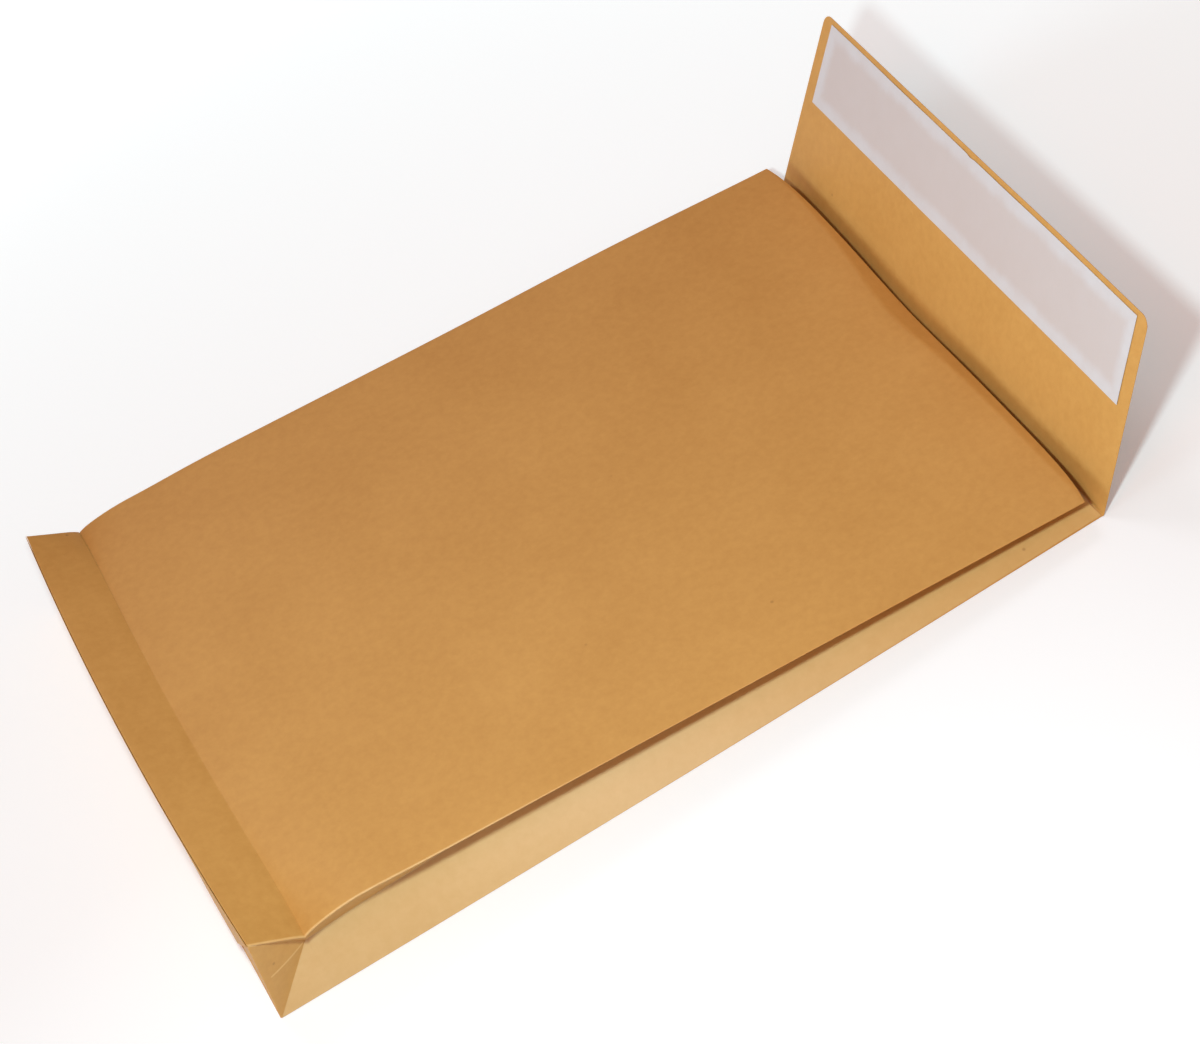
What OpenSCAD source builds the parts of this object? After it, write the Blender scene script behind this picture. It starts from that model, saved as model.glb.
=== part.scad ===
// Gusseted pocket envelope with a squared bottom and a peel-and-seal flap.
// One sheet of kraft paper is folded to a flat tube with an inward V gusset down each long side.
// One end is squared off and glued shut, and at the other end the back panel runs on as the flap.
// It lies on its back panel, half sprung open: the end wall stands nearly upright, a strip half a
// gusset wide slopes down from it to a cross crease, and from there the top panel falls to the mouth.
// X runs from the squared bottom to the flap, Z is up, and the origin is under the middle.

/* [Pocket] */
// Width of the pocket, from one gusset edge to the other
pocket_w = 229; // [160:1:330]
// Length from the foot of the end wall to the flap crease
pocket_len = 324; // [240:1:460]
// Depth of the gussets, which the squared bottom takes as its height
gusset_d = 40; // [30:1:56]
// Thickness of the kraft paper
paper_t = 0.2; // [0.15:0.05:0.4]

/* [How far it has sprung open] */
// Lean of the end wall, inwards from upright, in degrees
wall_tilt = 5.5; // [0:0.5:10]
// Outward bow of the end wall along its top edge
wall_bow = 3.4; // [0:0.2:6]
// Fall of the strip above the end wall, at its two corners, in degrees
strip_fall = 32; // [20:1:40]
// How far the corners of the top panel are pressed in where the cross crease meets the gussets
corner_dip = 4.5; // [0:0.5:6]
// Length along the gusset edge over which a pressed corner recovers
dip_len = 17; // [10:1:40]
// Length over which the gusset fold settles into an even V behind the squared bottom
settle_len = 110; // [60:5:160]
// Rise of the top panel along its middle line
crown = 1.5; // [0:0.1:4]

/* [Mouth] */
// Height of the mouth at the gusset edges
mouth_h = 10.8; // [7:0.2:18]
// Distance from the flap crease back to the mouth at the gusset edges, where its corners are cut back
mouth_back = 5.2; // [3:0.2:15]
// Distance from the flap crease back to the mouth in the middle
mouth_gap = 4.8; // [1:0.2:8]
// Length of the lip that droops at the mouth, in the middle of the top panel
lip_len = 7; // [2:0.2:14]
// Fall of the lip beyond the slope of the top panel, in the middle, in degrees
lip_fall = 20; // [0:1:25]
// Sag of the top panel in the middle, where the lip begins
mouth_sag = 0.6; // [0:0.1:1]

/* [Flap] */
// Length of the flap from its crease to its free edge
flap_len = 76; // [60:1:110]
// How much each side of the flap tapers in over its length
flap_taper = 5; // [0:0.5:20]
// Radius of the two free corners
flap_corner_r = 4; // [1:0.5:12]
// Lean of the flap, back from upright, in degrees
flap_lean = 28; // [10:1:50]
// Inside radius of the flap crease
crease_r = 0.8; // [0.4:0.1:2]

/* [Peel-and-seal strip] */
// Width of the adhesive strip
adhesive_w = 26; // [10:1:30]
// Thickness of the adhesive strip
adhesive_t = 0.1; // [0.05:0.05:0.2]
// Width of the release liner over the adhesive
liner_w = 34; // [32:1:45]
// Thickness of the release liner
liner_t = 0.1; // [0.05:0.05:0.2]
// Paper left bare between the liner and the free edge of the flap
liner_edge = 2; // [1:0.5:8]
// Paper left bare between the liner and each side of the flap
liner_side = 6; // [2:0.5:20]
// Liner left free beyond each end of the adhesive, to pick it up by
liner_grip = 3; // [0:0.5:10]

/* [Glued joins] */
// Overlap of the two bottom flaps across the end wall
bottom_lap = 12; // [6:1:18]
// Width of the lengthwise glue lap, inside the back panel
seam_w = 12; // [8:1:20]
// Gap between the glue lap and the gusset where the fold beside it closes on the back panel
seam_gap = 0.5; // [0.3:0.1:4]

/* [Hidden] */

// Facets across the panels, rings from the cross crease to the mouth, and facets round a flap corner
across = 16;
rings = 17;
arc_steps = 8;
$fn = 64;

half_w = pocket_w / 2;
half_g = gusset_d / 2;

// Top edge of the end wall, and the ends of the cross crease half a gusset further on
wall_top_x = gusset_d * sin(wall_tilt);
wall_top_z = gusset_d * cos(wall_tilt);
crease_end_x = wall_top_x + half_g * cos(strip_fall);
crease_end_z = wall_top_z - half_g * sin(strip_fall);

// The flap rises from the back panel round a small bend that keeps its crease line in place
flap_rise = 90 - flap_lean;
bend_reach = (crease_r + paper_t) * tan(flap_rise / 2);
bend_x = pocket_len - bend_reach;
flap_flat = flap_len - bend_reach;
mouth_x = pocket_len - mouth_back;
// Length of the lip where it dies out at the gusset edges
lip_end = 1.2;

// Free edges of the bottom flaps: the lower one goes up the end wall, and the upper one laps over it
lower_free_z = (wall_top_z + bottom_lap) / 2;
upper_free_z = (wall_top_z - bottom_lap) / 2;

// Middle of the whole length, from the outermost layer on the end wall to the free edge of the flap
wall_face_x = min(
    -paper_t,
    wall_x(0, upper_free_z) - 2 * paper_t,
    wall_x(0, wall_top_z - paper_t / 2) - 2 * paper_t
);
flap_tip_x = bend_x + (crease_r + paper_t) * sin(flap_rise) + flap_flat * cos(flap_rise);
middle_x = (flap_tip_x + wall_face_x) / 2;

// The gusset fold starts where both corner diagonals of the squared bottom keep their length
fold_start_z = (pow(wall_top_x - half_g, 2) + pow(wall_top_z, 2) - pow(half_g, 2)) / (2 * wall_top_z);
fold_start_tilt = acos(fold_start_z / half_g);

function lerp(a, b, t) = a + (b - a) * t;
// 1 on the middle line of a panel and 0 at its two gusset edges
function hump(y) = 1 - pow(y / half_w, 2);
function fade(t) = pow(max(0, 1 - t), 2);

// The end wall is ruled from its straight foot to its bowed top edge
function wall_x(y, z) = (wall_top_x - wall_bow * hump(y)) * z / wall_top_z;

// The cross crease is pressed down at its ends, and the strip keeps its width all along
function crease_z(y) = crease_end_z + corner_dip * (1 - pow(y / half_w, 4));
function strip_drop(y) = asin((wall_top_z - crease_z(y)) / half_g);
function crease_x(y) = wall_x(y, wall_top_z) + half_g * cos(strip_drop(y));

// Height of the gusset edge of the top panel, before its corner is pressed in
function ridge_z(x) = lerp(crease_end_z + corner_dip, mouth_h, (x - crease_end_x) / (mouth_x - crease_end_x));

// Rings run from the cross crease, at t = 0, to the mouth, at t = 1, closest near the crease.
// The ring at t = lip_t is where the lip begins, and the last one is the cut edge of the mouth.
lip_t = 1 - lip_end / (mouth_x - crease_end_x);
function ring_t(r) = r == rings ? 1 : lip_t * pow((r - 1) / (rings - 2), 1.5);
function edge_x(y) = mouth_x + (mouth_back - mouth_gap) * (1 - pow(y / half_w, 8));
function lip_x(y) = edge_x(y) - lerp(lip_end, lip_len, hump(y));
function top_x(t, y) =
    t <= lip_t
        ? lerp(crease_x(y), lip_x(y), t / lip_t)
        : lerp(lip_x(y), edge_x(y), (t - lip_t) / (1 - lip_t));
function top_z(t, y) =
    ridge_z(lerp(crease_end_x, mouth_x, t))
    - corner_dip * pow(y / half_w, 4) * fade((top_x(t, half_w) - crease_end_x) / dip_len)
    + hump(y) * (crown * sin(180 * min(1, t / lip_t)) - mouth_sag * pow(t, 3))
    - hump(y) * tan(lip_fall) * max(0, top_x(t, y) - lip_x(y));

// Lean of the lower gusset half from upright: an even V, apart from the stretch behind the bottom
function even_tilt(x) = acos(ridge_z(x) / 2 / half_g);
function fold_tilt(x) =
    even_tilt(x)
    + (fold_start_tilt - even_tilt(crease_end_x)) * max(0, 1 - (x - crease_end_x) / settle_len);

// The fold of a gusset, with side = 1 for the far one and -1 for the near one
function fold_point(t, side) =
    let (x = lerp(half_g, (bend_x + mouth_x) / 2, t), tilt = fold_tilt(lerp(crease_end_x, mouth_x, t)))
    [x, side * (half_w - half_g * sin(tilt)), half_g * cos(tilt)];

// Places across a panel, from the near gusset edge to the far one
function across_y(j) = lerp(-half_w, half_w, j / across);

// One ring of the tube: back panel near to far, far fold, top panel far to near, near fold
function wall_ring() = concat(
    [for (j = [0:across]) [0, across_y(j), 0]],
    [[wall_top_x / 2, half_w, wall_top_z / 2]],
    [for (j = [across:-1:0]) [wall_x(across_y(j), wall_top_z), across_y(j), wall_top_z]],
    [[wall_top_x / 2, -half_w, wall_top_z / 2]]
);
function tube_ring(t) = concat(
    [for (j = [0:across]) [lerp(half_g, bend_x, t), across_y(j), 0]],
    [fold_point(t, 1)],
    [for (j = [across:-1:0]) [top_x(t, across_y(j)), across_y(j), top_z(t, across_y(j))]],
    [fold_point(t, -1)]
);
cols = 2 * (across + 1) + 2;
function is_top(c) = c > across + 1 && c < cols - 1;

function unit(v) = v / norm(v);
// Moves a ring's points inwards by the paper's thickness, as seen along X
function inset_yz(pts, c) =
    let (
        a = pts[(c + cols - 1) % cols], b = pts[c], d = pts[(c + 1) % cols],
        e1 = unit([b[1] - a[1], b[2] - a[2]]), e2 = unit([d[1] - b[1], d[2] - b[2]]),
        n1 = [-e1[1], e1[0]], n2 = [-e2[1], e2[0]]
    )
    [b[1], b[2]] + paper_t * (n1 + n2) / (1 + n1 * n2);
function inner_ring(pts) = [for (c = [0:cols - 1]) let (p = inset_yz(pts, c)) [pts[c][0], p[0], p[1]]];

// Inside the end wall and the strip the paper's thickness is taken square to their slopes
function inner_wall_ring(pts) = [
    for (c = [0:cols - 1])
        let (p = inset_yz(pts, c), fall = strip_drop(pts[c][1]))
        [pts[c][0] + paper_t, p[0], is_top(c) ? pts[c][2] - paper_t * (tan(fall) + 1 / cos(fall)) : p[1]]
];

// Joins two grids of points, one ring per row, into the closed shell of the tube
module tube_shell(outer, inner) {
    rows = len(outer);
    function o(r, c) = r * cols + c % cols;
    function i(r, c) = (rows + r) * cols + c % cols;
    // A side fold's facets turn on the diagonal that ends at the corner of the squared bottom
    function turned(c) = c == across + 1 || c == cols - 1;
    function quad(a, b, c, d, alt) = alt ? [[a, b, d], [b, c, d]] : [[a, b, c], [a, c, d]];
    function foot(j) = j;
    function head(j) = 2 * across + 2 - j;
    near = cols - 1;
    far = across + 1;
    wall = concat(
        [for (j = [0:across - 2]) [foot(j), foot(j + 1), head(j + 1)]],
        [for (j = [1:across - 1]) [foot(j), head(j + 1), head(j)]],
        [[foot(0), head(1), near], [near, head(1), head(0)]],
        [[foot(across - 1), foot(across), far], [foot(across - 1), far, head(across)]]
    );
    polyhedron(
        points = concat([for (ring = outer) each ring], [for (ring = inner) each ring]),
        faces = concat(
            [for (r = [0:rows - 2], c = [0:cols - 1])
                each quad(o(r, c), o(r + 1, c), o(r + 1, c + 1), o(r, c + 1), turned(c))],
            [for (r = [0:rows - 2], c = [0:cols - 1])
                each quad(i(r, c), i(r, c + 1), i(r + 1, c + 1), i(r + 1, c), turned(c))],
            [for (c = [0:cols - 1])
                each quad(o(rows - 1, c), i(rows - 1, c), i(rows - 1, c + 1), o(rows - 1, c + 1), false)],
            wall,
            [for (f = wall) [rows * cols + f[0], rows * cols + f[2], rows * cols + f[1]]]
        )
    );
}

// The end wall's own facets as a slab: its face stands some paper layers proud of the wall, and its
// back is half a layer inside it
module wall_slab(layers) {
    span = across + 1;
    function spot(out, high, j) =
        [high * wall_x(across_y(j), wall_top_z) - out, across_y(j), high * wall_top_z];
    function at(back, high, j) = (2 * back + high) * span + j;
    function quad(a, b, c, d) = [[a, b, c], [a, c, d]];
    polyhedron(
        points = [for (out = [layers * paper_t, -paper_t / 2], high = [0, 1], j = [0:across]) spot(out, high, j)],
        faces = concat(
            [for (j = [0:across - 1]) each quad(at(0, 0, j), at(0, 0, j + 1), at(0, 1, j + 1), at(0, 1, j))],
            [for (j = [0:across - 1]) each quad(at(1, 1, j + 1), at(1, 0, j + 1), at(1, 0, j), at(1, 1, j))],
            [for (j = [0:across - 1]) each quad(at(0, 0, j), at(1, 0, j), at(1, 0, j + 1), at(0, 0, j + 1))],
            [for (j = [0:across - 1]) each quad(at(0, 1, j), at(0, 1, j + 1), at(1, 1, j + 1), at(1, 1, j))],
            quad(at(0, 0, 0), at(0, 1, 0), at(1, 1, 0), at(1, 0, 0)),
            quad(at(0, 0, across), at(1, 0, across), at(1, 1, across), at(0, 1, across))
        )
    );
}

// A bottom flap glued on the end wall, from its hinge line to its free edge, with mitred ends
module bottom_flap(hinge_z, free_z, layers) {
    hinge_half = half_w - paper_t;
    free_half = hinge_half - abs(free_z - hinge_z);
    deep = wall_bow + wall_top_x + 1;
    intersection() {
        wall_slab(layers);
        translate([-deep, 0, 0])
            rotate([90, 0, 90])
                linear_extrude(2 * deep)
                    polygon([
                        [-hinge_half, hinge_z], [hinge_half, hinge_z],
                        [free_half, free_z], [-free_half, free_z]
                    ]);
    }
}

// Corner b of an outline a-b-c, rounded to radius r
function rounded(a, b, c, r) =
    let (
        e1 = unit(a - b), e2 = unit(c - b),
        half = acos(e1 * e2) / 2,
        mid = b + unit(e1 + e2) * r / sin(half),
        from = b + e1 * r / tan(half) - mid, to = b + e2 * r / tan(half) - mid,
        start = atan2(from[1], from[0]),
        turn = (atan2(to[1], to[0]) - start + 540) % 360 - 180
    )
    [for (k = [0:arc_steps]) mid + r * [cos(start + turn * k / arc_steps), sin(start + turn * k / arc_steps)]];

// Half width of the flap at a distance up from its bend
function flap_half(u) = half_w - flap_taper * u / flap_flat;

// Places its children on the inner face of the flap, with X up the flap and Z out of the paper
module on_flap() {
    translate([bend_x, 0, paper_t + crease_r])
        rotate([0, -flap_rise, 0])
            translate([0, 0, -crease_r])
                children();
}

module flap_sheet() {
    tip = flap_half(flap_flat);
    near_corner = rounded([0, -half_w], [flap_flat, -tip], [flap_flat, tip], flap_corner_r);
    far_corner = rounded([flap_flat, -tip], [flap_flat, tip], [0, half_w], flap_corner_r);
    on_flap()
        translate([0, 0, -paper_t])
            linear_extrude(paper_t)
                polygon(concat([[0, -half_w]], near_corner, far_corner, [[0, half_w]]));
    translate([bend_x, 0, paper_t + crease_r])
        rotate([90, 0, 0])
            rotate([0, 0, -90])
                rotate_extrude(angle = flap_rise)
                    translate([crease_r, -half_w])
                        square([paper_t, pocket_w]);
}

// A strip along the free edge of the flap whose ends follow the flap's sides
module flap_strip(from_u, width, side_gap, low, thick) {
    to_u = from_u + width;
    function end_y(u) = flap_half(u) - side_gap;
    on_flap()
        translate([0, 0, low])
            linear_extrude(thick)
                polygon([
                    [from_u, -end_y(from_u)], [to_u, -end_y(to_u)],
                    [to_u, end_y(to_u)], [from_u, end_y(from_u)]
                ]);
}

// The sheet's first edge, glued flat inside the back panel along the far gusset. It keeps clear of
// the wedge where the gusset comes down on the back panel, which is longest at the mouth.
module glue_lap() {
    wedge_angle = 90 - even_tilt(mouth_x);
    wedge = paper_t / tan(wedge_angle / 2) + paper_t / tan(wedge_angle);
    translate([half_g, half_w - wedge - seam_gap - seam_w, paper_t / 2])
        cube([mouth_x - lip_len - half_g, seam_w, paper_t * 3 / 2]);
}

liner_u = flap_flat - liner_edge - liner_w;
adhesive_u = liner_u + (liner_w - adhesive_w) / 2;

module envelope() {
    tube = [for (r = [1:rings]) tube_ring(ring_t(r))];
    color("#c6924f")
        translate([-middle_x, 0, 0])
            union() {
                tube_shell(
                    concat([wall_ring()], tube),
                    concat([inner_wall_ring(wall_ring())], [for (ring = tube) inner_ring(ring)])
                );
                bottom_flap(0, lower_free_z, 1);
                bottom_flap(wall_top_z - paper_t / 2, upper_free_z, 2);
                glue_lap();
                flap_sheet();
            }
}

module adhesive_strip() {
    color("#e8e2cf")
        translate([-middle_x, 0, 0])
            flap_strip(adhesive_u, adhesive_w, liner_side + liner_grip, 0, adhesive_t);
}

module release_liner() {
    color("#d2c8cb")
        translate([-middle_x, 0, 0])
            flap_strip(liner_u, liner_w, liner_side, adhesive_t, liner_t);
}

envelope();
adhesive_strip();
release_liner();
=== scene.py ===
import math

import bpy
from mathutils import Euler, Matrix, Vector, noise


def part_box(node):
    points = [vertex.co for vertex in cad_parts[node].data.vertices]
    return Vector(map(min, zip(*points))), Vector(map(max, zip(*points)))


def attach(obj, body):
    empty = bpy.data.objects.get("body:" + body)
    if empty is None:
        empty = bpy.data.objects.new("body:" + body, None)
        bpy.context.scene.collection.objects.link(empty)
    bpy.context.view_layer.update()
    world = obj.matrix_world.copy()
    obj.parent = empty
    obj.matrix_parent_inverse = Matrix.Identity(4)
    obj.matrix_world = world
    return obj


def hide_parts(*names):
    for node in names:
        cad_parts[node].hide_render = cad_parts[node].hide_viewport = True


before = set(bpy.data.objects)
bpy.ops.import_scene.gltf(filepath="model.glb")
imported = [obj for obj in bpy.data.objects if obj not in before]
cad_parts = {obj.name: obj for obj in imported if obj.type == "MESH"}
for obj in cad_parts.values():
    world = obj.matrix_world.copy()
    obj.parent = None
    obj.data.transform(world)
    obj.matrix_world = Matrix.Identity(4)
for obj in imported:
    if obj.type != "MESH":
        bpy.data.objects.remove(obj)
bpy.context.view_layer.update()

# The envelope
# One die-cut sheet of brown kraft paper, folded to a flat tube with an inward V gusset down each
# long side. The bottom is squared off and glued shut, and the back panel runs on as the flap.
# It lies half sprung open on its back, so every fold stands a little open.

MM = 0.001

# Sizes in millimetres, from the squared bottom (x = 0) to the flap
POCKET_W = 229.0
POCKET_LEN = 324.0
GUSSET_D = 40.0
PAPER_T = 0.2
# The end wall leans in, bows and is a little dented; the strip above it falls to the cross crease
WALL_TILT = math.radians(5.5)
WALL_BOW = 3.4
WALL_DENT = 0.5
STRIP_FALL = math.radians(32)
STRIP_SAG = 0.15
STRIP_WAVE = 0.25
# The top panel dips at its two corners and recovers over DIP_LEN; the gussets settle over SETTLE_LEN
CORNER_DIP = 4.5
DIP_LEN = 24.0
SETTLE_LEN = 110.0
CROWN = 1.5
TOP_SLOPE = 0.075
BASE_BOW = 1.1
PRESS_BULGE = 3.0
# The mouth, with a drooping lip that is longest at LIP_MORE_Y
MOUTH_H = 10.8
MOUTH_BACK = 5.2
MOUTH_GAP = 1.6
MOUTH_SAG = 0.6
LIP_FALL = math.radians(33)
LIP_SOFT = 2.0
LIP_END = 1.2
LIP_MID = 3.6
LIP_MORE = 3.8
LIP_MORE_Y = 14
LIP_MORE_W = 34
# The flap stands up from its crease, leaning away from the mouth
FLAP_LEN = 76.0
FLAP_TAPER = 5.0
FLAP_CORNER_R = 4.0
FLAP_LEAN = math.radians(28)
FLAP_RISE = math.radians(90) - FLAP_LEAN
FLAP_WAVE = 0.6
CREASE_R = 0.8
CREASE_SOFT = 4.0
# The glued laps: the two bottom flaps over each other, and the seam beside the far gusset
BOTTOM_LAP = 12.0
SEAM_W = 12.0
SEAM_INSET = 2.6
SEAM_SHORT = 8.4

# Where a gusset edge has sprung up or down: how far, at which x, over what length
FAR_SPRINGS = ((1.1, 250, 50), (-1.3, 42, 22))
NEAR_SPRING = (0.6, 46, 16)
# The waves of the top panel: how high, how long, and a seed
LONG_WAVES = (0.9, 88, 3.1)
SHORT_WAVES = (0.35, 37, 7.7)

HALF_W = POCKET_W / 2
HALF_G = GUSSET_D / 2
WALL_TOP_X = GUSSET_D * math.sin(WALL_TILT)
WALL_TOP_Z = GUSSET_D * math.cos(WALL_TILT)
CREASE_END_X = WALL_TOP_X + HALF_G * math.cos(STRIP_FALL)
CREASE_END_Z = WALL_TOP_Z - HALF_G * math.sin(STRIP_FALL)
MOUTH_X = POCKET_LEN - MOUTH_BACK
LIP_T = 1 - LIP_END / (MOUTH_X - CREASE_END_X)
BEND_R = CREASE_R + PAPER_T
BEND_X = POCKET_LEN - BEND_R * math.tan(FLAP_RISE / 2)
FLAP_FLAT = FLAP_LEN - BEND_R * math.tan(FLAP_RISE / 2)
FOLD_START_Z = ((WALL_TOP_X - HALF_G) ** 2 + WALL_TOP_Z ** 2 - HALF_G ** 2) / (2 * WALL_TOP_Z)
FOLD_START_TILT = math.acos(FOLD_START_Z / HALF_G)

# The frame's origin is under the middle of the whole length
FLAP_TIP_X = BEND_X + BEND_R * math.sin(FLAP_RISE) + FLAP_FLAT * math.cos(FLAP_RISE)
MIDDLE_X = FLAP_TIP_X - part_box("envelope")[1].x / MM


def lerp(a, b, t):
    """The value a share t of the way from a to b."""
    return a + (b - a) * t


def bump(x, middle, width):
    """1 at the middle, dying out over the width."""
    return math.exp(-((x - middle) / width) ** 2)


def hump(y):
    """1 on a panel's middle line and 0 at its gusset edges."""
    return 1 - (y / HALF_W) ** 2


def ripple(x, y, size, seed):
    """Smooth waviness between -1 and 1, with waves about size millimetres long."""
    return noise.noise(Vector((x / size, y / size, seed)))


def waves(x, y, high, size, seed):
    """Waves of the paper, high millimetres at the most."""
    return high * ripple(x, y, size, seed)


def sprung(x, rise, middle, width):
    """How far a gusset edge has sprung at x."""
    return rise * bump(x, middle, width)


def wall_x(y, z):
    """The end wall is ruled from its straight foot to its bowed top edge."""
    return (WALL_TOP_X - WALL_BOW * hump(y)) * z / WALL_TOP_Z


def crease_z(y):
    """The height of the cross crease, which bows down to the corners."""
    return CREASE_END_Z + CORNER_DIP * (1 - (y / HALF_W) ** 4)


def strip_drop(y):
    """The angle at which the strip falls from the wall to the cross crease."""
    return math.asin((WALL_TOP_Z - crease_z(y)) / HALF_G)


def crease_x(y):
    """How far the cross crease lies from the squared bottom."""
    return wall_x(y, WALL_TOP_Z) + HALF_G * math.cos(strip_drop(y))


def crease_turn(y):
    """How much the slope changes at the cross crease."""
    return math.tan(strip_drop(y)) - TOP_SLOPE


def ridge_z(x):
    """The height of the top panel's gusset edges."""
    return lerp(CREASE_END_Z + CORNER_DIP, MOUTH_H, (x - CREASE_END_X) / (MOUTH_X - CREASE_END_X))


def edge_x(y):
    """The cut edge of the mouth, with its two corners cut back."""
    return MOUTH_X + (MOUTH_BACK - MOUTH_GAP) * (1 - (y / HALF_W) ** 8)


def lip_len(y):
    """The lip that droops at the mouth is longest a little to the far side of the middle."""
    side = (1 - abs(y / HALF_W) ** 6) if y < 0 else hump(y)
    return LIP_END + side * (LIP_MID + LIP_MORE * bump(y, LIP_MORE_Y, LIP_MORE_W))


def top_point(t, y):
    """The top panel, from the cross crease (t = 0) to the cut edge of the mouth (t = 1)."""
    lip_x = edge_x(y) - lip_len(y)
    if t <= LIP_T:
        x, beyond = lerp(crease_x(y), lip_x, t / LIP_T), 0
    else:
        beyond = (t - LIP_T) / (1 - LIP_T) * lip_len(y)
        x = lip_x + beyond
    along = t / LIP_T
    recover = max(0, 1 - (lerp(crease_x(HALF_W), MOUTH_X, t) - CREASE_END_X) / DIP_LEN) ** 2
    z = ridge_z(lerp(CREASE_END_X, MOUTH_X, t)) - CORNER_DIP * (y / HALF_W) ** 4 * recover
    z += hump(y) * (CROWN * math.sin(math.pi * min(1, along)) - MOUTH_SAG * t ** 3)
    # The lip turns down over its first two millimetres
    turned = min(beyond, LIP_SOFT) ** 2 / (2 * LIP_SOFT) + max(0, beyond - LIP_SOFT)
    z -= hump(y) ** 0.3 * math.tan(LIP_FALL) * turned
    # The two gusset edges have sprung a little differently
    far, near = max(0, y / HALF_W) ** 2, max(0, -y / HALF_W) ** 2
    z += far * sum(sprung(x, *spring) for spring in FAR_SPRINGS) + near * sprung(x, *NEAR_SPRING)
    # Soft waves in the sheet, held flat along its creases
    calm = hump(y) ** 0.7 * min(1, 4 * along) * min(1, 8 * max(0, 1.01 - along))
    z += calm * (waves(x, y, *LONG_WAVES) + waves(x, y, *SHORT_WAVES))
    # The cross crease is pressed, not sharp
    from_crease = x - crease_x(y)
    if from_crease < CREASE_SOFT:
        z -= crease_turn(y) * (CREASE_SOFT - from_crease) ** 2 / (4 * CREASE_SOFT)
    return x, y, z


def strip_point(s, y):
    """The strip above the end wall, from the cross crease (s = 0) up to the wall (s = 1)."""
    x = lerp(crease_x(y), wall_x(y, WALL_TOP_Z), s)
    z = lerp(crease_z(y), WALL_TOP_Z, s)
    from_crease = s * HALF_G
    if from_crease < CREASE_SOFT:
        z -= crease_turn(y) * (CREASE_SOFT - from_crease) ** 2 / (4 * CREASE_SOFT)
    z += hump(y) * math.sin(math.pi * s) * (waves(x, y, STRIP_WAVE, 31, 1.3) - STRIP_SAG)
    return x, y, z


def wall_point(s, y):
    """The end wall, from its foot (s = 0) to its top edge (s = 1)."""
    z = s * WALL_TOP_Z
    dent = hump(y) ** 0.5 * math.sin(math.pi * s) * waves(y, z, WALL_DENT, 45, 5.2)
    return wall_x(y, z) + dent, y, z


def base_point(x, y):
    """The back panel lies flat, its long edges bowed out a little by the sprung gussets."""
    bow = BASE_BOW * math.sin(math.pi * min(1, x / BEND_X)) * (y / HALF_W) ** 3
    return x, y + bow, 0.0


def fold_point(t, side):
    """The fold of a gusset, on the near side (side = -1) or the far one (side = 1)."""
    ring_x = lerp(CREASE_END_X, MOUTH_X, t)
    even = math.acos(ridge_z(ring_x) / 2 / HALF_G)
    start = math.acos(ridge_z(CREASE_END_X) / 2 / HALF_G)
    tilt = even + (FOLD_START_TILT - start) * max(0, 1 - (ring_x - CREASE_END_X) / SETTLE_LEN)
    x = lerp(HALF_G, (BEND_X + MOUTH_X) / 2, t)
    return x, side * (HALF_W - HALF_G * math.sin(tilt)), HALF_G * math.cos(tilt)


def between(a, b, t):
    """A point between two points."""
    return tuple(lerp(p, q, t) for p, q in zip(a, b))


def flap_half(u):
    """Half width of the flap at a distance u up from its bend, with rounded free corners."""
    half = HALF_W - FLAP_TAPER * u / FLAP_FLAT
    into = max(0, u - (FLAP_FLAT - FLAP_CORNER_R))
    return half - FLAP_CORNER_R + math.sqrt(max(0, FLAP_CORNER_R ** 2 - into ** 2))


def flap_point(u, y, lift=0.0):
    """A place on the outer face of the flap, lift millimetres in from it."""
    out = BEND_R - lift
    x = BEND_X + out * math.sin(FLAP_RISE) + u * math.cos(FLAP_RISE)
    z = BEND_R - out * math.cos(FLAP_RISE) + u * math.sin(FLAP_RISE)
    wave = (u / FLAP_FLAT) ** 2 * waves(u, y, FLAP_WAVE, 70, 9.4)
    return x + wave * math.sin(FLAP_RISE), y, z - wave * math.cos(FLAP_RISE)


def bend_point(s, y):
    """The round crease of the flap, from the back panel (s = 0) to the flap (s = 1)."""
    angle = s * FLAP_RISE
    return BEND_X + BEND_R * math.sin(angle), y, BEND_R * (1 - math.cos(angle))


def grid_panel(cells_u, cells_v, place):
    """A plane grid whose points are moved to place(u, v), with u and v from 0 to 1."""
    bpy.ops.object.select_all(action="DESELECT")
    bpy.ops.mesh.primitive_grid_add(x_subdivisions=cells_u, y_subdivisions=cells_v, size=1)
    panel = bpy.context.object
    for v in panel.data.vertices:
        u = round((v.co.x + 0.5) * cells_u) / cells_u
        x, y, z = place(u, round((v.co.y + 0.5) * cells_v) / cells_v)
        v.co = Vector((x - MIDDLE_X, y, z)) * MM
    return panel


def join_panels(panels, name):
    """Joins panels that share edges into one mesh under the given name."""
    bpy.ops.object.select_all(action="DESELECT")
    for panel in panels:
        panel.select_set(True)
    bpy.context.view_layer.objects.active = panels[0]
    if len(panels) > 1:
        bpy.ops.object.join()
    sheet = bpy.context.object
    sheet.name = sheet.data.name = name
    bpy.ops.object.mode_set(mode="EDIT")
    bpy.ops.mesh.select_all(action="SELECT")
    bpy.ops.mesh.remove_doubles(threshold=0.02 * MM)
    bpy.ops.mesh.dissolve_degenerate(threshold=0.01 * MM)
    bpy.ops.mesh.normals_make_consistent(inside=False)
    bpy.ops.object.mode_set(mode="OBJECT")
    return sheet


def finish(sheet, modifier, **settings):
    """Adds a modifier with its settings and applies it."""
    bpy.context.view_layer.objects.active = sheet
    added = sheet.modifiers.new(modifier.title(), modifier)
    for key, value in settings.items():
        setattr(added, key, value)
    bpy.ops.object.modifier_apply(modifier=added.name)


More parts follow.
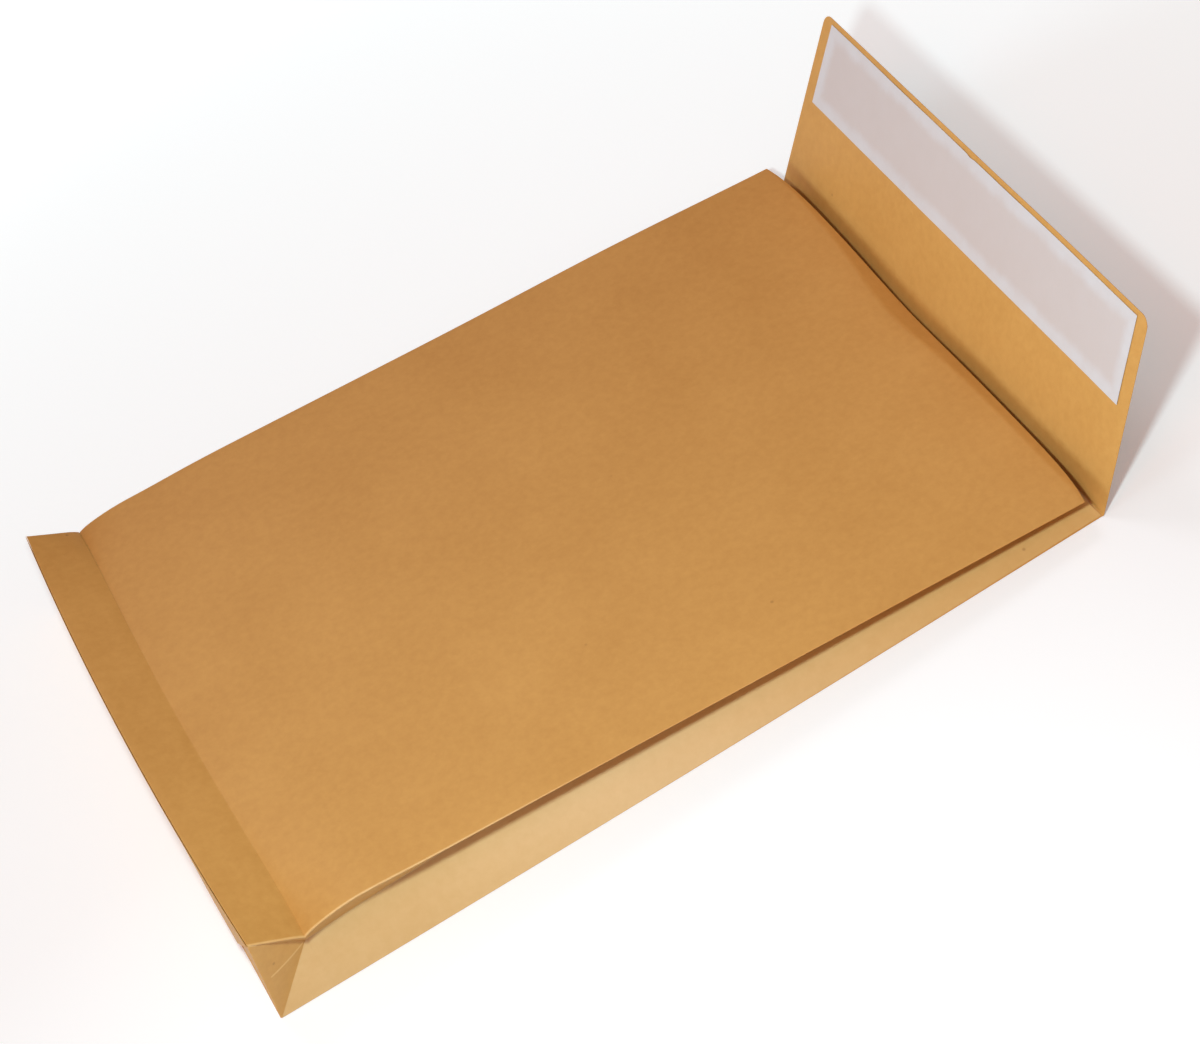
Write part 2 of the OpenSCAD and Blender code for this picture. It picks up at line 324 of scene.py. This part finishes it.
# Cells of the paper grid: across the panels, along the pocket, in the lip, across the strip and
# the wall, across a gusset half, round the flap's bend and up the flap
ACROSS = 64
ALONG = 96
LIP_CELLS = 6
STRIP_CELLS = 8
WALL_CELLS = 6
HALF_CELLS = 2
BEND_CELLS = 6
FLAP_CELLS = 20
CORNER_CELLS = 5
# How strongly the rows close up behind the cross crease and beside the other folds
ROWS_CLOSE = 1.4
FOLDS_CLOSE = 1.3


def run_t(v):
    """Rows along the pocket: close behind the cross crease, then even, then close in the lip."""
    row = round(v * (ALONG + LIP_CELLS))
    if row <= ALONG:
        return LIP_T * (row / ALONG) ** ROWS_CLOSE
    return lerp(LIP_T, 1, (row - ALONG) / LIP_CELLS)


def strip_s(v):
    """Rows that close up towards a fold."""
    return v ** FOLDS_CLOSE


def flap_u(v):
    """Rows up the flap, close together where its free corners are rounded."""
    row = round(v * (FLAP_CELLS + CORNER_CELLS))
    straight = FLAP_FLAT - FLAP_CORNER_R
    if row <= FLAP_CELLS:
        return straight * row / FLAP_CELLS
    return straight + FLAP_CORNER_R * math.sin(math.pi / 2 * (row - FLAP_CELLS) / CORNER_CELLS)


def spread(u):
    """A place across the envelope, from its near side (u = 0) to its far one (u = 1)."""
    return lerp(-HALF_W, HALF_W, u)


def corner_panels(side):
    """The three facets of a squared corner and the two halves of the gusset behind it."""
    y = side * HALF_W
    foot, head = wall_point(0, y), wall_point(1, y)
    inner = fold_point(0, side)
    start, crease = base_point(HALF_G, y), top_point(0, y)

    def wall_facet(u, v):
        # Folding flat has left a press mark from the gusset fold to the middle of the edge
        out = 1 - strip_s(1 - v)
        x, across, z = between(between(foot, head, u), inner, out)
        return x, across + side * (1 - abs(2 * u - 1)) * PRESS_BULGE * out * (1 - out), z

    def strip_facet(u, v):
        if u == 0:
            return strip_point(strip_s(v), y)
        return between(between(crease, inner, u), head, strip_s(v))

    def base_facet(u, v):
        return between(between(start, inner, u), foot, strip_s(v))

    def lower_half(u, v):
        t = run_t(v)
        return between(base_point(lerp(HALF_G, BEND_X, t), y), fold_point(t, side), u)

    def upper_half(u, v):
        t = run_t(v)
        return between(fold_point(t, side), top_point(t, y), u)

    return [
        grid_panel(WALL_CELLS, STRIP_CELLS, wall_facet),
        grid_panel(HALF_CELLS, STRIP_CELLS, base_facet),
        grid_panel(HALF_CELLS, STRIP_CELLS, strip_facet),
        grid_panel(HALF_CELLS, ALONG + LIP_CELLS, lower_half),
        grid_panel(HALF_CELLS, ALONG + LIP_CELLS, upper_half),
    ]


def strip_base(u, v):
    """The back panel beside the foot of the end wall."""
    return base_point(HALF_G * (1 - strip_s(1 - v)), spread(u))


def long_base(u, v):
    """The back panel from there to the flap's crease."""
    return base_point(lerp(HALF_G, BEND_X, run_t(v)), spread(u))


def flap_place(u, v):
    """The flap, u across it and v up to its free edge."""
    up = flap_u(v)
    return flap_point(up, (2 * u - 1) * flap_half(up))


envelope = join_panels([
    grid_panel(ACROSS, STRIP_CELLS, strip_base),
    grid_panel(ACROSS, ALONG + LIP_CELLS, long_base),
    grid_panel(ACROSS, BEND_CELLS, lambda u, v: bend_point(v, spread(u))),
    grid_panel(ACROSS, FLAP_CELLS + CORNER_CELLS, flap_place),
    grid_panel(ACROSS, WALL_CELLS, lambda u, v: wall_point(v, spread(u))),
    grid_panel(ACROSS, STRIP_CELLS, lambda u, v: strip_point(strip_s(v), spread(u))),
    grid_panel(ACROSS, ALONG + LIP_CELLS, lambda u, v: top_point(run_t(v), spread(u))),
    *corner_panels(-1),
    *corner_panels(1),
], "kraft_envelope")

# The open shell has to face outwards before the paper gets its thickness. One face high on the top
# panel tells which way it faces now
highest = max(envelope.data.polygons,
              key=lambda face: 10 * face.center.z * (face.center.x < 0) - abs(face.center.x))
bpy.ops.object.mode_set(mode="EDIT")
bpy.ops.mesh.select_all(action="SELECT")
if highest.normal.z < 0:
    bpy.ops.mesh.flip_normals()

# How sharp a turn counts as a fold. The long ridges are rounder than the other folds, whose bevels
# are the shares CRISP and PRESS_MARK of the ridges' radius
FOLD_ANGLE = math.radians(24)
RIDGE_R = 0.9
CRISP = 0.35
PRESS_MARK = 0.4
bpy.ops.mesh.select_all(action="DESELECT")
bpy.ops.mesh.select_mode(type="EDGE")
bpy.ops.mesh.edges_select_sharp(sharpness=FOLD_ANGLE)
bpy.ops.transform.edge_bevelweight(value=CRISP)
bpy.ops.mesh.select_mode(type="VERT")
bpy.ops.object.mode_set(mode="OBJECT")

# How far, in millimetres, an edge may be off a fold and still lie on it
ON_FOLD = 0.05
ON_SIDE = 0.1
# The part of the line to the gusset fold that carries the press mark
MARK_FROM = 0.1
MARK_TO = 0.99
# Margins, in millimetres, that pick the faces round a ridge and in a gusset, and nothing beside them
RIDGE_MARGIN = 0.3
UNDER_RIDGE = 2.0
PAST_WALL = 0.2
GUSSET_MARGIN = 1.0
OVER_BASE = 0.15
# The lower half of a gusset, with its fold, is this share of the ridge's height
LOWER_SHARE = 0.55


def in_mm(place):
    """A place as the distance from the squared bottom, from the middle and from the floor."""
    return place.x / MM + MIDDLE_X, abs(place.y) / MM, place.z / MM


def on_ridge(place):
    """On the long folds of the top panel, or on the short ones above the corner facets."""
    x, y, z = in_mm(place)
    beside = y > HALF_W - RIDGE_R - RIDGE_MARGIN
    return beside and z > MOUTH_H - UNDER_RIDGE and x > WALL_TOP_X + PAST_WALL


def in_gusset(place):
    """On the lower half of a gusset, with the facet that joins it to the foot of the end wall, where the
    painted sheen goes.
    """
    x, y, z = in_mm(place)
    limit = x / HALF_G * FOLD_START_Z if x < HALF_G else LOWER_SHARE * ridge_z(x)
    return y > HALF_W - HALF_G - GUSSET_MARGIN and x < BEND_X and OVER_BASE < z < limit


def on_press_mark(place, reach):
    """Within reach of the line from the middle of the wall's edge to the start of the gusset fold."""
    x, y, z = in_mm(place)
    end = fold_point(0, 1)
    start = (WALL_TOP_X / 2, WALL_TOP_Z / 2)
    along = (x - start[0]) / (end[0] - start[0])
    off = abs(z - lerp(start[1], end[2], along))
    return MARK_FROM < along < MARK_TO and off < reach and y < HALF_W + ON_SIDE


def near_fold_start(place):
    """At the point of a corner where the gusset's fold starts."""
    return (Vector(in_mm(place)) - Vector(fold_point(0, 1))).length < ON_FOLD


# Every fold runs out where the gusset's starts
weights = envelope.data.attributes["bevel_weight_edge"].data
for edge in envelope.data.edges:
    ends = [envelope.data.vertices[i].co for i in edge.vertices]
    at_side = all(abs(end.y) > (HALF_W - ON_SIDE) * MM for end in ends)
    if any(near_fold_start(end) for end in ends):
        weights[edge.index].value = 0
    elif weights[edge.index].value and on_ridge((ends[0] + ends[1]) / 2) and at_side:
        weights[edge.index].value = 1
    elif all(on_press_mark(end, ON_FOLD) for end in ends):
        weights[edge.index].value = PRESS_MARK


def linear(hex_colour):
    """An sRGB hex colour as linear red, green, blue and alpha."""
    parts = [int(hex_colour[i:i + 2], 16) / 255 for i in (1, 3, 5)]
    return [c / 12.92 if c <= 0.04045 else ((c + 0.055) / 1.055) ** 2.4 for c in parts] + [1]


def node(tree, kind, links=None, **settings):
    """Adds a node, sets its properties or inputs, and links its inputs."""
    added = tree.nodes.new(kind)
    for key, value in settings.items():
        if hasattr(added, key):
            setattr(added, key, value)
        else:
            added.inputs[key.replace("_", " ")].default_value = value
    for name, source in (links or {}).items():
        tree.links.new(source, added.inputs[name])
    return added


def new_material(name):
    """An empty node material with its output, ready for a surface."""
    material = bpy.data.materials.new(name)
    material.use_nodes = True
    material.node_tree.nodes.clear()
    return material, material.node_tree


# The paper's own marks, in millimetres: cloudy formation, mottles, bark specks and lying fibres
CLOUD = 38.0
MOTTLE = 3.2
SPECK_STEP = 24.0
FIBRE_LEN = 2.4
FIBRE_W = 0.5
FIBRE_HIGH = 0.04


def kraft_paper(name, dark, light, deep, at_mouth="#FFFFFF", near_x=150, far_x=300):
    """Machine-made kraft: an even sheet with small soft mottles, a few bark specks and a satin face.

    From near_x to far_x along the pocket its colour is tinted more and more by at_mouth.
    """
    material, tree = new_material(name)
    place = node(tree, "ShaderNodeTexCoord").outputs["Object"]
    cloud = node(tree, "ShaderNodeTexNoise", {"Vector": place}, Scale=1 / (CLOUD * MM), Detail=2.0,
                 Roughness=0.5)
    mottle = node(tree, "ShaderNodeTexNoise", {"Vector": place}, Scale=1 / (MOTTLE * MM), Detail=4.0,
                  Roughness=0.62)
    tone = node(tree, "ShaderNodeMapRange", {"Value": cloud.outputs["Fac"]},
                **{"From_Min": 0.3, "From_Max": 0.7, "To_Min": 0.25, "To_Max": 0.75})
    fleck = node(tree, "ShaderNodeMapRange", {"Value": mottle.outputs["Fac"]},
                 **{"From_Min": 0.3, "From_Max": 0.7, "To_Min": -0.35, "To_Max": 0.35})
    both = node(tree, "ShaderNodeMath", {0: tone.outputs["Result"], 1: fleck.outputs["Result"]},
                operation="ADD", use_clamp=True)
    body = node(tree, "ShaderNodeMix", {"Factor": both.outputs["Value"]}, data_type="RGBA")
    body.inputs["A"].default_value = linear(dark)
    body.inputs["B"].default_value = linear(light)
    specks = node(tree, "ShaderNodeTexVoronoi", {"Vector": place}, Scale=1 / (SPECK_STEP * MM),
                  Randomness=1.0)
    dot = node(tree, "ShaderNodeMapRange", {"Value": specks.outputs["Distance"]},
               **{"From_Min": 0.012, "From_Max": 0.034, "To_Min": 0.8, "To_Max": 0.0})
    shown = node(tree, "ShaderNodeMath", {0: specks.outputs["Color"], 1: dot.outputs["Result"]},
                 operation="MULTIPLY")
    colour = node(tree, "ShaderNodeMix", {"Factor": shown.outputs["Value"], "A": body.outputs["Result"]},
                  data_type="RGBA")
    colour.inputs["B"].default_value = linear(deep)
    sides = node(tree, "ShaderNodeSeparateXYZ", {"Vector": place})
    nearing = node(tree, "ShaderNodeMapRange", {"Value": sides.outputs["X"]},
                   interpolation_type="SMOOTHSTEP",
                   **{"From_Min": (near_x - MIDDLE_X) * MM, "From_Max": (far_x - MIDDLE_X) * MM})
    toned = node(tree, "ShaderNodeMix",
                 {"Factor": nearing.outputs["Result"], "A": colour.outputs["Result"]},
                 data_type="RGBA", blend_type="MULTIPLY")
    toned.inputs["B"].default_value = linear(at_mouth)
    fibre_place = node(tree, "ShaderNodeMapping", {"Vector": place})
    fibre_place.inputs["Scale"].default_value = (
        1 / (FIBRE_LEN * MM), 1 / (FIBRE_W * MM), 1 / (FIBRE_W * MM))
    fibre = node(tree, "ShaderNodeTexNoise", {"Vector": fibre_place.outputs["Vector"]},
                 Scale=1.0, Detail=3.0)
    height = node(tree, "ShaderNodeBump", {"Height": fibre.outputs["Fac"]},
                  Strength=0.05, Distance=FIBRE_HIGH * MM)
    gloss = node(tree, "ShaderNodeMapRange", {"Value": mottle.outputs["Fac"]},
                 **{"To_Min": 0.46, "To_Max": 0.54})
    surface = node(tree, "ShaderNodeBsdfPrincipled",
                   {"Base Color": toned.outputs["Result"], "Roughness": gloss.outputs["Result"],
                    "Normal": height.outputs["Normal"]})
    surface.inputs["Specular IOR Level"].default_value = 0.5
    node(tree, "ShaderNodeOutputMaterial", {"Surface": surface.outputs["BSDF"]})
    return material


# Golden brown, and even over the panels, because the sheet is calendered
kraft = kraft_paper("brown_kraft_paper", "#C4914D", "#CE9C57", "#6E3F16")
# Along the ridges and the press mark a paler kraft paints a pale line, partly fold wear where the pressed
# fibres have broken and partly painted highlight on the rounded fold; it fades away from the corners
fold_wear_and_highlight_kraft = kraft_paper("fold_wear_and_painted_highlight_kraft", "#D4A768", "#DCB277", "#9A6530", "#F0DFC0", 60, 150)
# The lower halves of the gussets get a paler, less saturated kraft, a painted sheen, a little warmer
# towards the mouth
gusset_sheen_kraft = kraft_paper("painted_sheen_gusset_kraft", "#CEA974", "#D4B17E", "#84562A", "#FFF9E6")
PANEL, FOLD, GUSSET = 0, 1, 2
for paper in (kraft, fold_wear_and_highlight_kraft, gusset_sheen_kraft):
    envelope.data.materials.append(paper)

# The bevel's round faces take the fold kraft, a pale line that is partly fold wear and partly painted
# highlight
finish(envelope, "BEVEL", width=RIDGE_R * MM, segments=4, limit_method="WEIGHT", use_clamp_overlap=False,
       loop_slide=False, material=FOLD)
# Only the ridges and the press mark keep that pale line of fold wear and painted highlight
for face in envelope.data.polygons:
    if face.material_index and not (on_ridge(face.center) or on_press_mark(face.center, PRESS_MARK)):
        face.material_index = PANEL
    # The lower gusset halves get the paler kraft of painted sheen
    if in_gusset(face.center):
        face.material_index = GUSSET
finish(envelope, "SOLIDIFY", thickness=PAPER_T * MM, offset=-1, use_even_offset=True,
       use_quality_normals=True)


# The bottom flaps are glued over the end wall, the lower one first, with mitred ends
LOWER_FREE_Z = (WALL_TOP_Z + BOTTOM_LAP) / 2
UPPER_FREE_Z = (WALL_TOP_Z - BOTTOM_LAP) / 2
# Each starts a little in from its fold
HINGE_IN = 0.4
WALL_FLAP_CELLS = 12
# Each layer lies a paper and a film of glue further out, and steps down over the free edge below it
LAYER_T = PAPER_T * 1.05
STEP_LEN = 2.0
# The outer flap is not glued right to its free edge, which stands off a little
CURL = 0.35
CURL_LEN = 3.0


def wall_flap(hinge_z, free_z, layers):
    """A bottom flap from its hinge to its free edge, as the first or second layer over the wall."""
    def place(u, v):
        z = lerp(hinge_z, free_z, v)
        half = HALF_W - PAPER_T - abs(z - hinge_z)
        y = (1 - 2 * u) * half
        step = min(1, max(0, (LOWER_FREE_Z + 1 - z) / STEP_LEN))
        x = wall_point(z / WALL_TOP_Z, y)[0] - LAYER_T * (1 + (layers - 1) * step)
        x -= (layers - 1) * CURL * max(0, 1 - abs(z - free_z) / CURL_LEN) ** 2
        return x, y, z
    flap = grid_panel(ACROSS, WALL_FLAP_CELLS, place)
    finish(flap, "SOLIDIFY", thickness=PAPER_T * MM, offset=-1)
    return flap


glued = [
    wall_flap(HINGE_IN, LOWER_FREE_Z, 1),
    wall_flap(WALL_TOP_Z - HINGE_IN, UPPER_FREE_Z, 2),
]


def lap_point(u, v):
    """The sheet's first edge, glued flat inside the back panel beside the far gusset."""
    x = lerp(HALF_G, MOUTH_X - SEAM_SHORT, u)
    return x, HALF_W - SEAM_INSET - SEAM_W * (1 - v), PAPER_T * 2.02


lap = grid_panel(ALONG, 2, lap_point)
finish(lap, "SOLIDIFY", thickness=PAPER_T * MM, offset=-1)
glued.append(lap)
for piece in glued:
    piece.data.materials.append(kraft)
bpy.ops.object.select_all(action="DESELECT")
for piece in glued + [envelope]:
    piece.select_set(True)
bpy.context.view_layer.objects.active = envelope
bpy.ops.object.join()
SMOOTH_ANGLE = math.radians(38)
bpy.ops.object.shade_smooth_by_angle(angle=SMOOTH_ANGLE)
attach(envelope, "root")
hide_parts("envelope")

# The adhesive strip
# A band of pressure-sensitive adhesive, coated on the kraft along the free edge of the flap.
# The release liner covers it until the envelope is sealed.

ADHESIVE_T = 0.1
BEAD = 1.2
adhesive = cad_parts["adhesive_strip"]
# Milky and glossy, with the small beads that the coating leaves
material, tree = new_material("pressure_sensitive_adhesive")
place = node(tree, "ShaderNodeTexCoord").outputs["Object"]
beads = node(tree, "ShaderNodeTexNoise", {"Vector": place}, Scale=1 / (BEAD * MM), Detail=2.0)
height = node(tree, "ShaderNodeBump", {"Height": beads.outputs["Fac"]}, Strength=0.3, Distance=0.05 * MM)
milky = node(tree, "ShaderNodeMix", {"Factor": beads.outputs["Fac"]}, data_type="RGBA")
milky.inputs["A"].default_value = linear("#D9CDB4")
milky.inputs["B"].default_value = linear("#EAE4D4")
surface = node(tree, "ShaderNodeBsdfPrincipled",
               {"Base Color": milky.outputs["Result"], "Normal": height.outputs["Normal"]},
               Roughness=0.16)
node(tree, "ShaderNodeOutputMaterial", {"Surface": surface.outputs["BSDF"]})
adhesive.data.materials.clear()
adhesive.data.materials.append(material)

# The release liner
# A strip of white siliconised paper over the adhesive, slit to width and peeled off before sealing.
# The adhesive shows through it as a warmer band, and it lies a little loose along its edges.

LINER_W = 34.0
LINER_T = 0.1
LINER_EDGE = 2.0
LINER_SIDE = 6.0
LINER_U = FLAP_FLAT - LINER_EDGE - LINER_W
# How far the strip lies off the adhesive, and how much more its rim and its waves add
LINER_OFF = 0.05
RIM_LIFT = 0.10
WAVE_LIFT = 0.05
# A small nick in the slit edge, a little to the far side of the middle
NICK_DEEP = 0.5
NICK_Y = 2.8
NICK_W = 1.6


def liner_place(u, v):
    """u runs across the envelope and v up the flap; the strip lies on the flap's inner face."""
    up = LINER_U + LINER_W * v
    y = (1 - 2 * u) * (HALF_W - FLAP_TAPER * up / FLAP_FLAT - LINER_SIDE)
    up -= NICK_DEEP * bump(y, NICK_Y, NICK_W) * max(0, 1 - (1 - v) * 10)
    # 0 on the strip's rim, and rising inwards over about 18 mm
    rim = min(1, 12 * min(u, 1 - u, 0.15 * v, 0.15 * (1 - v)))
    loose = LINER_OFF + (1 - rim) * RIM_LIFT * (0.5 + ripple(y, up, 23, 4.4))
    loose += WAVE_LIFT * abs(ripple(y, up, 40, 8.8))
    return flap_point(up, y, PAPER_T + ADHESIVE_T + LINER_T + loose)


LINER_CELLS = (120, 20)
liner = grid_panel(*LINER_CELLS, liner_place)
liner.name = liner.data.name = "release_liner_strip"
finish(liner, "SOLIDIFY", thickness=LINER_T * MM, offset=-1)
bpy.ops.object.shade_smooth_by_angle(angle=SMOOTH_ANGLE)

# Cool white and satin from its silicone, a little cloudy, and warmer where it lies on the adhesive,
# whose edge wanders between BAND_FROM and BAND_TO millimetres in from the liner's
LINER_CLOUD = 9.0
LINER_GRAIN = 0.7
BAND_FROM = 4.0
BAND_TO = 8.5
BAND_WANDER = 3.0
material, tree = new_material("siliconised_release_paper")
place = node(tree, "ShaderNodeTexCoord")
fibre = node(tree, "ShaderNodeTexNoise", {"Vector": place.outputs["Object"]},
             Scale=1 / (LINER_CLOUD * MM), Detail=4.0, Roughness=0.6)
sides = node(tree, "ShaderNodeSeparateXYZ", {"Vector": place.outputs["UV"]})
across = node(tree, "ShaderNodeMath", {0: sides.outputs["X"]}, operation="PINGPONG")
across.inputs[1].default_value = 0.5
up = node(tree, "ShaderNodeMath", {0: sides.outputs["Y"]}, operation="PINGPONG")
up.inputs[1].default_value = 0.5
from_end = node(tree, "ShaderNodeMath", {0: across.outputs["Value"]}, operation="MULTIPLY")
from_end.inputs[1].default_value = 2 * (HALF_W - LINER_SIDE)
from_side = node(tree, "ShaderNodeMath", {0: up.outputs["Value"]}, operation="MULTIPLY")
from_side.inputs[1].default_value = LINER_W
in_from = node(tree, "ShaderNodeMath",
               {0: from_end.outputs["Value"], 1: from_side.outputs["Value"]}, operation="MINIMUM")
wander = node(tree, "ShaderNodeMath",
              {0: fibre.outputs["Fac"], 2: in_from.outputs["Value"]}, operation="MULTIPLY_ADD")
wander.inputs[1].default_value = BAND_WANDER
band = node(tree, "ShaderNodeMapRange", {"Value": wander.outputs["Value"]}, interpolation_type="SMOOTHSTEP",
            **{"From_Min": BAND_FROM, "From_Max": BAND_TO, "To_Min": 0.0, "To_Max": 1.0})
mix = node(tree, "ShaderNodeMix", {"Factor": band.outputs["Result"]}, data_type="RGBA")
mix.inputs["A"].default_value = linear("#CFCFDA")
mix.inputs["B"].default_value = linear("#C9C2C8")
cloudy = node(tree, "ShaderNodeMapRange", {"Value": fibre.outputs["Fac"]},
              **{"From_Min": 0.35, "From_Max": 0.65, "To_Min": 0.0, "To_Max": 0.2})
tint = node(tree, "ShaderNodeMix", {"Factor": cloudy.outputs["Result"], "A": mix.outputs["Result"]},
            data_type="RGBA")
tint.inputs["B"].default_value = linear("#C4BABD")
grain = node(tree, "ShaderNodeTexNoise", {"Vector": place.outputs["Object"]},
             Scale=1 / (LINER_GRAIN * MM), Detail=3.0)
height = node(tree, "ShaderNodeBump", {"Height": grain.outputs["Fac"]}, Strength=0.15, Distance=0.04 * MM)
surface = node(tree, "ShaderNodeBsdfPrincipled",
               {"Base Color": tint.outputs["Result"], "Normal": height.outputs["Normal"]},
               Roughness=0.42)
node(tree, "ShaderNodeOutputMaterial", {"Surface": surface.outputs["BSDF"]})
liner.data.materials.append(material)
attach(liner, "root")
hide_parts("release_liner")

# The floor, the lights and the camera
# A white paper sweep. A small round softbox stands close on the near side, above the squared bottom,
# with weak lamps from the squared bottom's side, the near left and the far side, and a warm even fill.

KEY_PLACE = Vector((40 - MIDDLE_X, -450, 560)) * MM
KEY_TARGET = Vector((110 - MIDDLE_X, -40, 15)) * MM
KEY_SIZE = 60 * MM
KEY_ENERGY = 3.3
FLOOR_SIZE = 8000 * MM
FLOOR_DROP = 0.15 * MM

bpy.ops.object.select_all(action="DESELECT")
bpy.ops.mesh.primitive_plane_add(size=FLOOR_SIZE, location=(0, 0, -FLOOR_DROP))
floor = bpy.context.object
floor.name = floor.data.name = "studio_floor"
material, tree = new_material("white_studio_paper")
surface = node(tree, "ShaderNodeBsdfDiffuse", Color=linear("#E4E9F2"))
# Seen by the camera, the paper is lifted to plain white, more so away from the key, and the shadows stay
NEAR_KEY = 430 * MM
FAR_FROM_KEY = 1150 * MM
spot = node(tree, "ShaderNodeTexCoord").outputs["Object"]
away = node(tree, "ShaderNodeVectorMath", {0: spot}, operation="DISTANCE")
away.inputs[1].default_value = (KEY_PLACE.x, KEY_PLACE.y, 0)
far_off = node(tree, "ShaderNodeMapRange", {"Value": away.outputs["Value"]},
               **{"From_Min": NEAR_KEY, "From_Max": FAR_FROM_KEY})
lifted = node(tree, "ShaderNodeMix", {"Factor": far_off.outputs["Result"]}, data_type="RGBA")
lifted.inputs["A"].default_value = linear("#7C7C81")
lifted.inputs["B"].default_value = linear("#D1EFF7")
# Well clear of the envelope the sweep is plain white
CLEAR_FROM = 330 * MM
CLEAR_TO = 800 * MM
from_middle = node(tree, "ShaderNodeVectorMath", {0: spot}, operation="LENGTH")
clear_off = node(tree, "ShaderNodeMapRange", {"Value": from_middle.outputs["Value"]},
                 interpolation_type="SMOOTHSTEP", **{"From_Min": CLEAR_FROM, "From_Max": CLEAR_TO})
plain = node(tree, "ShaderNodeMix", {"Factor": clear_off.outputs["Result"], "A": lifted.outputs["Result"]},
             data_type="RGBA")
plain.inputs["B"].default_value = linear("#FFFFFF")
seen = node(tree, "ShaderNodeLightPath").outputs["Is Camera Ray"]
glow = node(tree, "ShaderNodeEmission", {"Strength": seen, "Color": plain.outputs["Result"]})
both = node(tree, "ShaderNodeAddShader", {0: surface.outputs["BSDF"], 1: glow.outputs["Emission"]})
node(tree, "ShaderNodeOutputMaterial", {"Surface": both.outputs["Shader"]})
floor.data.materials.append(material)

# The key is near enough for its light to fall off across the envelope, as in the photograph
bpy.ops.object.light_add(type="AREA", location=KEY_PLACE,
                         rotation=(KEY_PLACE - KEY_TARGET).to_track_quat("Z", "Y").to_euler())
key = bpy.context.object
key.name = "key_light"
key.data.shape = "DISK"
key.data.size = KEY_SIZE
key.data.energy = KEY_ENERGY
key.data.color = linear("#E6FFFB")[:3]


def lamp(name, towards, energy, angle, colour):
    """A distant soft lamp; towards points from the envelope to the lamp."""
    direction = Vector(towards)
    bpy.ops.object.light_add(type="SUN", rotation=direction.to_track_quat("Z", "Y").to_euler())
    sun = bpy.context.object
    sun.name = name
    sun.data.energy = energy
    sun.data.angle = math.radians(angle)
    sun.data.color = linear(colour)[:3]


lamp("side_light", (-0.98, 0.0, 0.21), 1.25, 26, "#DFFBFF")
lamp("warm_fill", (-0.43, -0.43, 0.79), 0.5, 30, "#FF7030")
lamp("back_light", (0.0, 0.62, 0.79), 0.3, 18, "#FFFFFF")

world = bpy.data.worlds.new("studio")
bpy.context.scene.world = world
world.use_nodes = True
world.node_tree.nodes.clear()
tree = world.node_tree
seen = node(tree, "ShaderNodeLightPath").outputs["Is Camera Ray"]
# The camera sees a plain white room, which lights the object only weakly
FILL = 0.30
level = node(tree, "ShaderNodeMapRange", {"Value": seen}, **{"To_Min": FILL, "To_Max": 1.0})
shade = node(tree, "ShaderNodeMix", {"Factor": seen}, data_type="RGBA")
shade.inputs["A"].default_value = linear("#FFCFA8")
shade.inputs["B"].default_value = linear("#FFFFFF")
sky = node(tree, "ShaderNodeBackground",
           {"Color": shade.outputs["Result"], "Strength": level.outputs["Result"]})
node(tree, "ShaderNodeOutputWorld", {"Surface": sky.outputs["Background"]})

# The camera stands where the one that took the photograph did, by a fit to the envelope's corners
CAMERA_PLACE = (54.27 - MIDDLE_X, -792.40, 814.15)
CAMERA_TURN = (42.1726, 16.8884, -27.0395)
LENS = 95.16
bpy.ops.object.camera_add(
    location=Vector(CAMERA_PLACE) * MM,
    rotation=Euler([math.radians(a) for a in CAMERA_TURN], "XYZ"))
camera = bpy.context.object
camera.data.lens = LENS
camera.data.sensor_width = 36
camera.data.clip_start = 0.01
bpy.context.scene.camera = camera

bpy.context.scene.view_settings.view_transform = "Standard"
